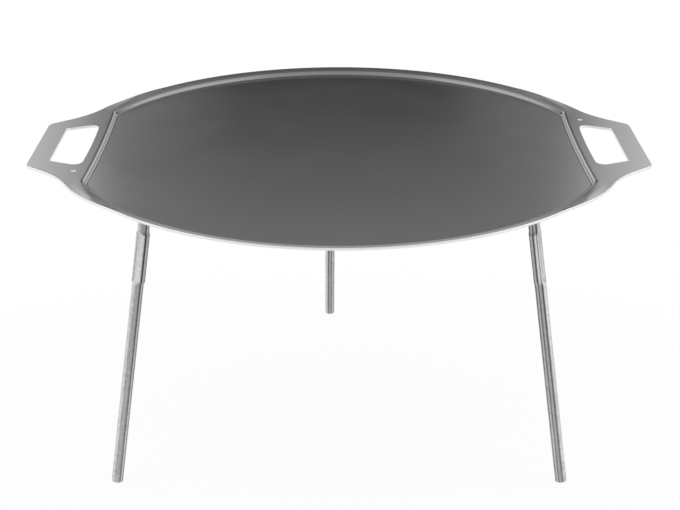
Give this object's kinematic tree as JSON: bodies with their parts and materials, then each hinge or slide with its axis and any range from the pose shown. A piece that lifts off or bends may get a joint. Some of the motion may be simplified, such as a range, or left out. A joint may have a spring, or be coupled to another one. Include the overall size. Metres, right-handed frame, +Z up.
{
  "type": "camp griddle plate",
  "caption": "Round pressed steel griddle plate with a shallow cooking recess and integral handle tabs, standing on splayed tube legs that pull off welded spigots.",
  "frame": {"origin": "on the ground, under the middle of the plate", "axes": "+Z up, +X along the two handle tabs, -Y towards the side with two legs"},
  "size_m": [0.64, 0.58, 0.3337],
  "materials": {
    "plate_steel": "dark satin hot-rolled sheet",
    "stud_steel": "bare drawn bar with a welded root",
    "leg_steel": "bright zinc-plated tube"
  },
  "bodies": {
    "plate": {"griddle_plate": "plate_steel", "spigot_front_left": "stud_steel", "spigot_front_right": "stud_steel", "spigot_rear": "stud_steel"},
    "leg_front_left": {"leg_front_left": "leg_steel"},
    "leg_front_right": {"leg_front_right": "leg_steel"},
    "leg_rear": {"leg_rear": "leg_steel"}
  },
  "joints": [
    {"name": "pull_front_left", "type": "slide", "parent": "plate", "child": "leg_front_left", "axis": [-0.14, -0.0808, -0.9869], "range_m": [0, 0.06]},
    {"name": "pull_front_right", "type": "slide", "parent": "plate", "child": "leg_front_right", "axis": [0.14, -0.0808, -0.9869], "range_m": [0, 0.06]},
    {"name": "pull_rear", "type": "slide", "parent": "plate", "child": "leg_rear", "axis": [-0.007, 0.1614, -0.9869], "range_m": [0, 0.06]}
  ]
}
